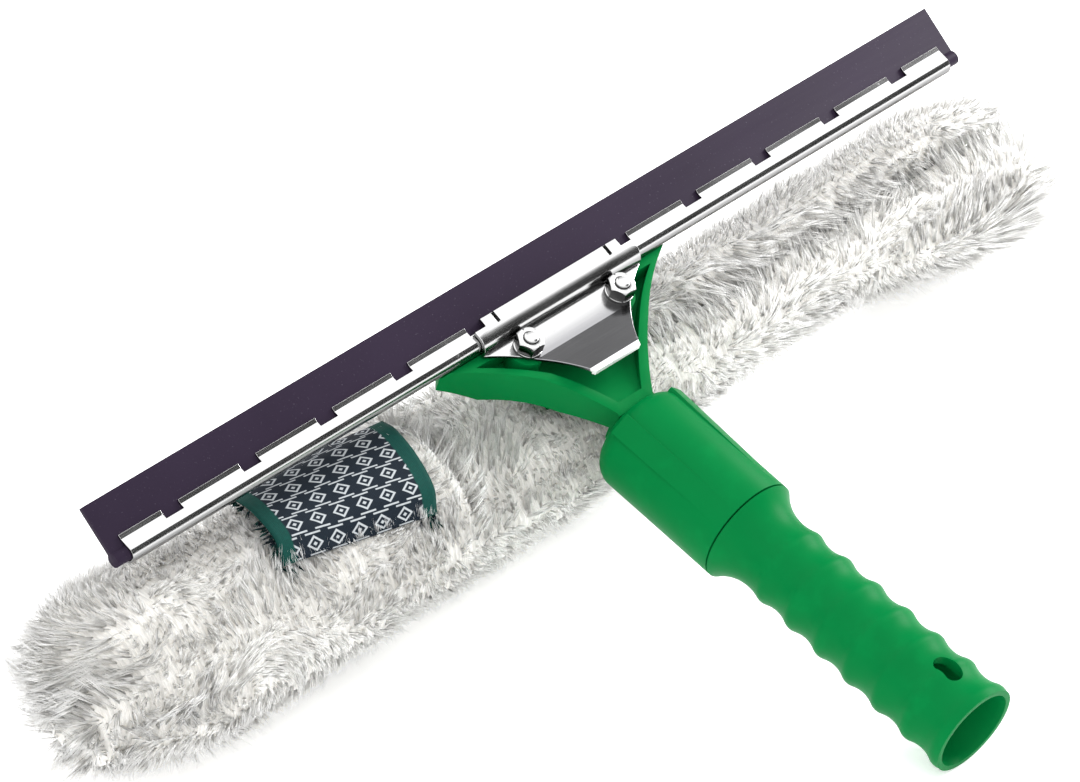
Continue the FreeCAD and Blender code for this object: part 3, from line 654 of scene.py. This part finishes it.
def swell_cloth(piece, settings):
    """Swell the padded body with a short cloth simulation, its bore held, and cap every move."""
    start = [vertex.co.copy() for vertex in piece.data.vertices]
    held = piece.vertex_groups.new(name="held")
    inner = BAR_RADIUS + SKIN_HELD
    held.add([i for i, co in enumerate(start) if round_bar(co)[1] < inner], 1.0, "REPLACE")
    cloth = piece.modifiers.new("swell", "CLOTH")
    cloth.settings.use_pressure = True
    cloth.settings.uniform_pressure_force = settings.pressure
    cloth.settings.effector_weights.gravity = 0
    cloth.settings.vertex_group_mass = "held"
    cloth.point_cache.frame_start = 1
    cloth.point_cache.frame_end = SWELL_FRAMES
    scene = bpy.context.scene
    for step in range(1, SWELL_FRAMES + 1):
        scene.frame_set(step)
    swollen = made_mesh(piece)
    piece.modifiers.remove(cloth)
    scene.frame_set(1)
    for vertex, old, new in zip(piece.data.vertices, start, swollen.vertices):
        move = new.co - old
        if move.length > settings.swell:
            move *= settings.swell / move.length
        vertex.co = old + move
    bpy.data.meshes.remove(swollen)
    piece.vertex_groups.clear()


class SCRUBBER_OT_handle(Operator):
    """Grip, socket and the screw between socket and yoke"""
    bl_idname = "scrubber.handle"
    bl_label = "Handle"

    def execute(self, context):
        settings = context.scene.scrubber_moulding
        green = moulded_green(settings, "moulded_green", dull=0.0)
        dressed_copy("grip", green, settings.edge, 3)
        dressed_copy("socket", green, settings.edge, 3)
        steel = rolled_steel(context.scene.scrubber_steel, "screw_steel", "Z")
        dressed_copy("socket_screw", steel, context.scene.scrubber_steel.edge)
        return {"FINISHED"}


class SCRUBBER_OT_yoke(Operator):
    """Yoke and the T-bar with its end caps"""
    bl_idname = "scrubber.yoke"
    bl_label = "Yoke and T-bar"

    def execute(self, context):
        settings = context.scene.scrubber_moulding
        green = moulded_green(settings, "moulded_green_head", dull=0.02)
        dressed_copy("yoke", green, settings.edge, 3)
        core = moulded_green(settings, "moulded_green_core", dull=0.10)
        for node in ("t_bar", "bar_cap_left", "bar_cap_right"):
            dressed_copy(node, core, settings.edge / 2)
        return {"FINISHED"}


class SCRUBBER_OT_clamp(Operator):
    """Clamp plate, bolts, washers and nuts"""
    bl_idname = "scrubber.clamp"
    bl_label = "Clamp"

    def execute(self, context):
        settings = context.scene.scrubber_steel
        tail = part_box("clamp_plate")[0].y
        # The plate gets painted darker flanks, a painted highlight on its hem and painted shade past its
        # bend.
        plate = rolled_steel(settings, "plate_steel", "X", flank_shade=0.4,
                             hem=tail + PLATE_HEM, bend=tail + PLATE_BEND)
        dressed_copy("clamp_plate", plate, settings.edge, 2, PLATE_CREASE, PLATE_FOLD)
        # The fasteners' flanks are painted much darker, as shaded reflection.
        turned = rolled_steel(settings, "turned_steel", "Z", flank_shade=0.12)
        for side in ("left", "right"):
            for node in ("clamp_bolt_", "washer_", "nut_"):
                dressed_copy(node + side, turned, settings.edge)
        return {"FINISHED"}


class SCRUBBER_OT_blade(Operator):
    """Steel channel and rubber blade"""
    bl_idname = "scrubber.blade"
    bl_label = "Blade"

    def execute(self, context):
        settings = context.scene.scrubber_steel
        # The channel's flanks are painted darker, as shaded reflection.
        steel = rolled_steel(settings, "channel_steel", "X", flank_shade=0.35)
        dressed_copy("blade_channel", steel, settings.edge / 3, 2, CHANNEL_CREASE)
        rubber = context.scene.scrubber_rubber
        dressed_copy("rubber_blade", wiping_rubber(rubber), rubber.edge)
        return {"FINISHED"}


class SCRUBBER_OT_sleeve(Operator):
    """Padded body of the sleeve, its hem tape and fastening strips"""
    bl_idname = "scrubber.sleeve"
    bl_label = "Sleeve"

    def execute(self, context):
        settings = context.scene.scrubber_sleeve
        # The fabric is painted darker, with shaded streaks in its fibre gaps, as the shade under the pile.
        fabric = plush(settings, "sleeve_fabric", shade_dim=0.88, fuzz=2.0 * MM, gap_shade=0.5)
        body = new_piece("sleeve_body", merged_solid("washer_sleeve"), fabric, "sleeve")
        remesh = body.modifiers.new("even", "REMESH")
        remesh.mode = "VOXEL"
        remesh.voxel_size = settings.voxel
        even = made_mesh(body)
        body.modifiers.remove(remesh)
        body.data.clear_geometry()
        work = bmesh.new()
        work.from_mesh(even)
        bmesh.ops.smooth_vert(work, verts=work.verts, factor=0.4,
                              use_axis_x=True, use_axis_y=True, use_axis_z=True)
        bore = BAR_RADIUS + BORE_GAP
        for vertex in work.verts:
            x, radius, angle = round_bar(vertex.co)
            if radius > bore:
                share = (radius - bore) / (outer_radius(x, angle) - bore)
                angle = close_slit(x, radius, angle)
                radius = bore + share * (skin_radius(x, angle, settings.pile) - bore)
            vertex.co = off_bar(x, radius, angle)
        bmesh.ops.recalc_face_normals(work, faces=work.faces)
        work.to_mesh(body.data)
        work.free()
        bpy.data.meshes.remove(even)
        swell_cloth(body, settings)
        body.data.shade_smooth()
        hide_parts("washer_sleeve")
        tape = woven_tape("hem_tape", (0.74, 0.73, 0.70))
        dressed_copy("sleeve_binding", tape, 0.2 * MM)
        for node in ("hook_strip", "loop_strip"):
            tape = woven_tape(node + "_tape", (0.70, 0.70, 0.68))
            dressed_copy(node, tape, 0.15 * MM)
        return {"FINISHED"}


def lock_shape(seed):
    """One lock of pile, a unit long: a few tapering strands from one root that lean apart and curl."""
    chance = random.Random(seed)
    work = bmesh.new()
    for strand in range(LOCK_STRANDS):
        before = set(work.verts)
        ring = bmesh.ops.create_circle(work, cap_ends=True, segments=3, radius=1.0)["verts"]
        face = ring[0].link_faces[0]
        for rise in range(2):
            raised = bmesh.ops.extrude_face_region(work, geom=[face])["geom"]
            top = [part for part in raised if isinstance(part, bmesh.types.BMVert)]
            face = next(part for part in raised if isinstance(part, bmesh.types.BMFace))
            bmesh.ops.translate(work, verts=top, vec=(0, 0, 0.5))
        bmesh.ops.pointmerge(work, verts=top, merge_co=(0, 0, 1))
        turn = chance.uniform(0, 2 * math.pi)
        spread = chance.uniform(1.2, 6.5)
        curl = chance.uniform(-1.2, 1.2)
        length = chance.uniform(0.7, 1.05)
        for vertex in [vertex for vertex in work.verts if vertex not in before]:
            height = vertex.co.z
            slim = 1.0 - 0.3 * height
            lean = spread * (0.35 + height)
            vertex.co.x = vertex.co.x * slim + lean * math.cos(turn + curl * height)
            vertex.co.y = vertex.co.y * slim + lean * math.sin(turn + curl * height)
            vertex.co.z = height * length
    mesh = bpy.data.meshes.new("lock")
    bmesh.ops.recalc_face_normals(work, faces=work.faces)
    work.to_mesh(mesh)
    work.free()
    return mesh


def lock_place(root, axis, side, width, length):
    """Matrix that takes a unit lock to its root, along axis."""
    columns = (side * width, axis.cross(side) * width, axis * length, root)
    return Matrix([[column[row] for column in columns] for row in range(3)] + [[0, 0, 0, 1]])


def label_point(settings, u, v):
    """Place on the label, u along the sleeve and v round it, both from -0.5 to 0.5, before it is lifted."""
    centre_x = (LABEL_LOW.x + LABEL_HIGH.x) / 2 + LABEL_SHIFT
    centre_arc = LABEL_SIDE * SLEEVE_RADIUS
    across, up = u * settings.width, v * settings.height
    x = centre_x + across * math.cos(settings.turn) - up * math.sin(settings.turn)
    arc = centre_arc + across * math.sin(settings.turn) + up * math.cos(settings.turn)
    return x, arc / SLEEVE_RADIUS


def on_label(settings, x, angle):
    """Where a place on the sleeve lies on the label, as u and v."""
    centre_x, centre_angle = label_point(settings, 0, 0)
    along = x - centre_x
    arc = (angle - centre_angle) * SLEEVE_RADIUS
    u = (along * math.cos(settings.turn) + arc * math.sin(settings.turn)) / settings.width
    v = (-along * math.sin(settings.turn) + arc * math.cos(settings.turn)) / settings.height
    return u, v


def label_radius(x, angle):
    """Distance of the label's cloth from the bar's axis."""
    return outer_radius(x, angle) + crest(x, angle) + LABEL_LIFT


def label_droop(v):
    """How far the label sinks into the pile towards its lower edge, and a little at its back edge."""
    return FRONT_DROOP * smooth_step(-v, 0.26, 0.5) + BACK_DROOP * smooth_step(v, 0.3, 0.5)


class SCRUBBER_OT_pile(Operator):
    """Locks of pile all over the sleeve's outside"""
    bl_idname = "scrubber.pile"
    bl_label = "Pile"

    def lean(self, x, radial, around, angle):
        """Direction in which the pile is brushed at a place; around points to larger angles."""
        outward = smooth_step(abs(x), *BRUSH_GROWS) * (1 if x > 0 else -1)
        brushed_hem_highlight = Vector((0.5 * outward, 0, 0)) + 0.5 * around * math.cos(angle)
        broad = noise.noise_vector(Vector((x * 32, radial.y * 1.6, radial.z * 1.6)))
        fine = noise.noise_vector(Vector((x * 150, radial.y * 6.0, radial.z * 6.0 + 7)))
        return 1.6 * brushed_hem_highlight + 2.0 * broad + 0.9 * fine

    def grow(self, root, normal, chance, context):
        """Matrix of one lock at a root."""
        settings = context.scene.scrubber_sleeve
        x, radius, angle = round_bar(root)
        radial = off_bar(x, radius + 1, angle) - root
        around = Vector((0, radial.z, -radial.y))
        end = max(0.0, abs(normal.x) - 0.35) / 0.65
        reach = pile_reach(x, angle)
        u, v = on_label(context.scene.scrubber_label, x, angle)
        lean = self.lean(x, radial, around, angle)
        if x > STEM_END:
            beside = angle - SLIT
            lean -= 1.3 * around * math.copysign(hump(abs(beside), 0.25, 0.35), beside)
        tail = smooth_step(x, *TUFT_GROWS) * facing(angle, TAIL) ** 3
        lean += tail * TUFT
        stand = max(LEAST_STAND, reach - radius) + end * END_LENGTH + tail * TUFT_LENGTH
        if abs(u) < 0.5 and abs(v) < 0.5:
            stand = min(stand, label_radius(x, angle) - radius - LABEL_CLEAR)
        elif abs(u) < 0.5 and -0.72 < v <= -0.5:
            lean = 0.6 * around + 0.6 * lean
        axis = (normal + lean - normal * lean.dot(normal)).normalized()
        longest = LONGEST + tail * (LONGEST_TUFT - LONGEST)
        length = min(stand / max(0.36, axis.dot(normal)), longest) * chance.uniform(0.8, 1.2)
        tip = root + axis * length
        ragged = chance.random()
        past = (0.72 + 0.28 * ragged) * END_PILE
        tip.z = max(tip.z, FLOOR_GAP + FLOOR_RAGGED * ragged)
        tip.x = max(SLEEVE_LOW.x - past, min(SLEEVE_HIGH.x + past, tip.x))
        axis = (tip - root).normalized()
        length = (tip - root).length
        width = settings.strand * chance.uniform(0.75, 1.25)
        side = axis.orthogonal().normalized()
        side.rotate(Matrix.Rotation(chance.uniform(0, 2 * math.pi), 3, axis))
        return lock_place(root - axis * ROOT_SUNK * length, axis, side, width, length)

    def bears_pile(self, face):
        """Whether a face is on the body's outside or at an end; the open end keeps a bare ring."""
        x, radius, angle = round_bar(face.center)
        outside = face.normal.dot(off_bar(x, radius + 1, angle) - face.center) >= 0.25
        at_end = abs(face.normal.x) > 0.4 and radius > BAR_RADIUS + END_MARGIN
        return outside or at_end or face.normal.x < -0.4

    def execute(self, context):
        settings = context.scene.scrubber_sleeve
        chance = random.Random(settings.seed)
        noise.seed_set(settings.seed)
        body = bpy.data.objects["sleeve_body"]
        shapes = [lock_shape(settings.seed + index) for index in range(LOCK_SHAPES)]
        material = plush(settings, "pile", shade_dim=1.0, fuzz=0.2 * MM, gap_shade=0.0)
        works = [bmesh.new() for band in range(PILE_BANDS)]
        length = SLEEVE_HIGH.x - SLEEVE_LOW.x
        corners = body.data.vertices
        for face in body.data.polygons:
            if not self.bears_pile(face):
                continue
            band = int(PILE_BANDS * (face.center.x - SLEEVE_LOW.x) / length)
            work = works[min(PILE_BANDS - 1, band)]
            wanted = face.area / settings.spacing ** 2
            count = int(wanted) + (1 if chance.random() < wanted % 1 else 0)
            ring = [corners[index].co for index in face.vertices]
            for lock in range(count):
                s, t = chance.random(), chance.random()
                near = ring[0].lerp(ring[1], s)
                far = ring[-1].lerp(ring[2], s) if len(ring) > 3 else ring[2]
                place = self.grow(near.lerp(far, t), face.normal, chance, context)
                shape = chance.choice(shapes).copy()
                shape.transform(place)
                work.from_mesh(shape)
                bpy.data.meshes.remove(shape)
        for band, work in enumerate(works):
            piece = new_piece(f"pile_{band + 1}", work, material, "sleeve")
            piece.data.shade_smooth()
        for shape in shapes:
            bpy.data.meshes.remove(shape)
        return {"FINISHED"}


class SCRUBBER_OT_label(Operator):
    """Woven label that lies on the pile, with a frayed edge"""
    bl_idname = "scrubber.label"
    bl_label = "Label"

    def strands(self, settings, name, roots, width, material, slot):
        """Locks at places on the label's edge.

        Each root gives u, v, the sideways, upward and outward lean, and the length.
        """
        shape = lock_shape(settings.seed)
        work = bmesh.new()
        for u, v, aside, rise, lift, length in roots:
            x, angle = label_point(settings, u, v)
            root = off_bar(x, label_radius(x, angle) - label_droop(v) - LABEL_THICKNESS, angle)
            radial = (root - off_bar(x, 0, angle)).normalized()
            around = Vector((0, radial.z, -radial.y))
            axis = (Vector((aside, 0, 0)) + around * rise + radial * lift).normalized()
            side = axis.orthogonal().normalized()
            copy = shape.copy()
            copy.transform(lock_place(root, axis, side, width, length))
            work.from_mesh(copy)
            bpy.data.meshes.remove(copy)
        bpy.data.meshes.remove(shape)
        new_piece(name, work, material, "sleeve").data.shade_smooth()

    def fray(self, settings):
        """Loose threads at the label's left edge and lower corners, and pile over its lower edge."""
        chance = random.Random(settings.seed)
        spread = chance.uniform
        corners = (-0.46, 0.44)
        tufts = (-0.30, -0.05, 0.12, 0.34)
        threads = [(-0.5, spread(-0.5, 0.35), -1.0, spread(-0.9, 0.3), spread(-0.1, 0.5),
                    spread(2.5, 6.0) * MM) for thread in range(SIDE_THREADS)]
        threads += [(chance.choice(corners) + spread(-0.05, 0.05), -0.5, spread(-0.6, 0.6), -1.0,
                     spread(-0.1, 0.5), spread(2.5, 6.0) * MM) for thread in range(CORNER_THREADS)]
        self.strands(settings, "label_threads", threads, THREAD_HALF, loose_thread(settings), "woven_label")
        over = [(chance.choice(tufts) + spread(-0.12, 0.10), -0.5, spread(-0.7, 0.7), 1.0,
                 spread(0.55, 1.0), spread(2.0, 6.0) * MM) for lock in range(FALLEN_LOCKS)]
        self.strands(settings, "label_pile", over, FALLEN_HALF, bpy.data.materials["pile"], "plush")

    def execute(self, context):
        settings = context.scene.scrubber_label
        work = bmesh.new()
        uv = work.loops.layers.uv.new("label")
        bmesh.ops.create_grid(work, x_segments=38, y_segments=26, size=0.5)
        for face in work.faces:
            for loop in face.loops:
                loop[uv].uv = (loop.vert.co.x + 0.5, loop.vert.co.y + 0.5)
        for vertex in work.verts:
            u, v = vertex.co.x, vertex.co.y
            x, angle = label_point(settings, u, v)
            wave = LABEL_WAVE * noise.noise(Vector((u * 3.1, v * 2.3, 0.4)))
            vertex.co = off_bar(x, label_radius(x, angle) + wave - label_droop(v), angle)
        material = woven_label(settings)
        label = new_piece("label", work, material, "sleeve")
        label.data.shade_smooth()
        outside = label.data.polygons[0]
        middle = off_bar(outside.center.x, 0, 0)
        if outside.normal.dot(outside.center - middle) < 0:
            label.data.flip_normals()
        thick = label.modifiers.new("cloth", "SOLIDIFY")
        thick.thickness = LABEL_THICKNESS
        thick.offset = 0
        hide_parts("sleeve_label")
        self.fray(settings)
        return {"FINISHED"}


class SCRUBBER_OT_stage(Operator):
    """Floor, soft light and camera"""
    bl_idname = "scrubber.stage"
    bl_label = "Stage"

    def soft_light(self, name, place, size, power):
        """Round area light that faces the tool."""
        data = bpy.data.lights.new(name, "AREA")
        data.shape = "DISK"
        data.size = size
        data.energy = power
        light = bpy.data.objects.new(name, data)
        light.location = place
        light.rotation_euler = (LIT_PLACE - Vector(place)).to_track_quat("-Z", "Y").to_euler()
        bpy.context.scene.collection.objects.link(light)

    def surround(self, settings):
        """Bright studio dome with dark flags to one side, which the steel picks up."""
        paint = Paint(bpy.data.worlds.new("surround"))
        x, y, z = paint.split(paint.place("Generated"))
        dome = z.between(-0.1, 0.75) * 0.5 + 0.5
        side = x.between(0.30, 0.42) * (1 - x.between(0.72, 0.84))
        first = 1 - y.between(0.12, 0.32) * 0.82
        second = 1 - y.between(0.45, 0.60) * 0.8
        seen = y.between(-0.36, -0.22) * first * second
        bright = dome * (1 - side) + side * (seen * 0.98 + 0.02)
        light = paint.value("ShaderNodeBackground", {}, {"Color": bright, "Strength": settings.sky})
        paint.add("ShaderNodeOutputWorld", {}, {"Surface": light})
        return paint.owner

    def execute(self, context):
        scene = context.scene
        settings = scene.scrubber_stage
        work = bmesh.new()
        bmesh.ops.create_grid(work, x_segments=8, y_segments=8, size=FLOOR_HALF)
        mesh = bpy.data.meshes.new("floor")
        work.to_mesh(mesh)
        work.free()
        mesh.materials.append(plain_floor(settings))
        floor = bpy.data.objects.new("floor", mesh)
        scene.collection.objects.link(floor)
        scene.world = self.surround(settings)
        scene.view_settings.view_transform = "Standard"
        self.soft_light("key", KEY_PLACE, KEY_SIZE, settings.key)
        camera_data = bpy.data.cameras.new("camera")
        camera_data.sensor_fit = "HORIZONTAL"
        camera_data.sensor_width = 36
        camera_data.lens = settings.lens
        camera_data.clip_end = 50
        camera = bpy.data.objects.new("camera", camera_data)
        flat = math.cos(settings.elevation)
        back = Vector((math.sin(settings.azimuth) * flat, -math.cos(settings.azimuth) * flat,
                       math.sin(settings.elevation)))
        camera.location = PICTURE_MIDDLE + back * settings.distance
        camera.rotation_euler = back.to_track_quat("Z", "Y").to_euler()
        scene.collection.objects.link(camera)
        scene.camera = camera
        return {"FINISHED"}


class SCRUBBER_PT_panel(Panel):
    """Lists the scrubber's pieces"""
    bl_label = "Scrubber"
    bl_idname = "SCRUBBER_PT_panel"
    bl_space_type = "VIEW_3D"
    bl_region_type = "UI"
    bl_category = "Scrubber"

    def draw(self, context):
        for operator in OPERATORS:
            self.layout.operator(operator.bl_idname)
        for name in SETTINGS:
            box = self.layout.box()
            group = getattr(context.scene, name)
            for prop in group.bl_rna.properties:
                if prop.identifier not in ("rna_type", "name"):
                    box.prop(group, prop.identifier)


OPERATORS = (
    SCRUBBER_OT_handle,
    SCRUBBER_OT_yoke,
    SCRUBBER_OT_clamp,
    SCRUBBER_OT_blade,
    SCRUBBER_OT_sleeve,
    SCRUBBER_OT_pile,
    SCRUBBER_OT_label,
    SCRUBBER_OT_stage,
)

SETTINGS = {
    "scrubber_moulding": MouldingSettings,
    "scrubber_steel": SteelSettings,
    "scrubber_rubber": RubberSettings,
    "scrubber_sleeve": SleeveSettings,
    "scrubber_label": LabelSettings,
    "scrubber_stage": StageSettings,
}


def register():
    for group in SETTINGS.values():
        bpy.utils.register_class(group)
    for operator in OPERATORS:
        bpy.utils.register_class(operator)
    bpy.utils.register_class(SCRUBBER_PT_panel)
    for name, group in SETTINGS.items():
        setattr(bpy.types.Scene, name, PointerProperty(type=group))


def unregister():
    for name in SETTINGS:
        delattr(bpy.types.Scene, name)
    bpy.utils.unregister_class(SCRUBBER_PT_panel)
    for operator in reversed(OPERATORS):
        bpy.utils.unregister_class(operator)
    for group in SETTINGS.values():
        bpy.utils.unregister_class(group)


def main():
    register()
    bpy.ops.scrubber.handle()
    bpy.ops.scrubber.yoke()
    bpy.ops.scrubber.clamp()
    bpy.ops.scrubber.blade()
    bpy.ops.scrubber.sleeve()
    bpy.ops.scrubber.pile()
    bpy.ops.scrubber.label()
    bpy.ops.scrubber.stage()
    bpy.context.view_layer.update()


if __name__ == "__main__":
    main()
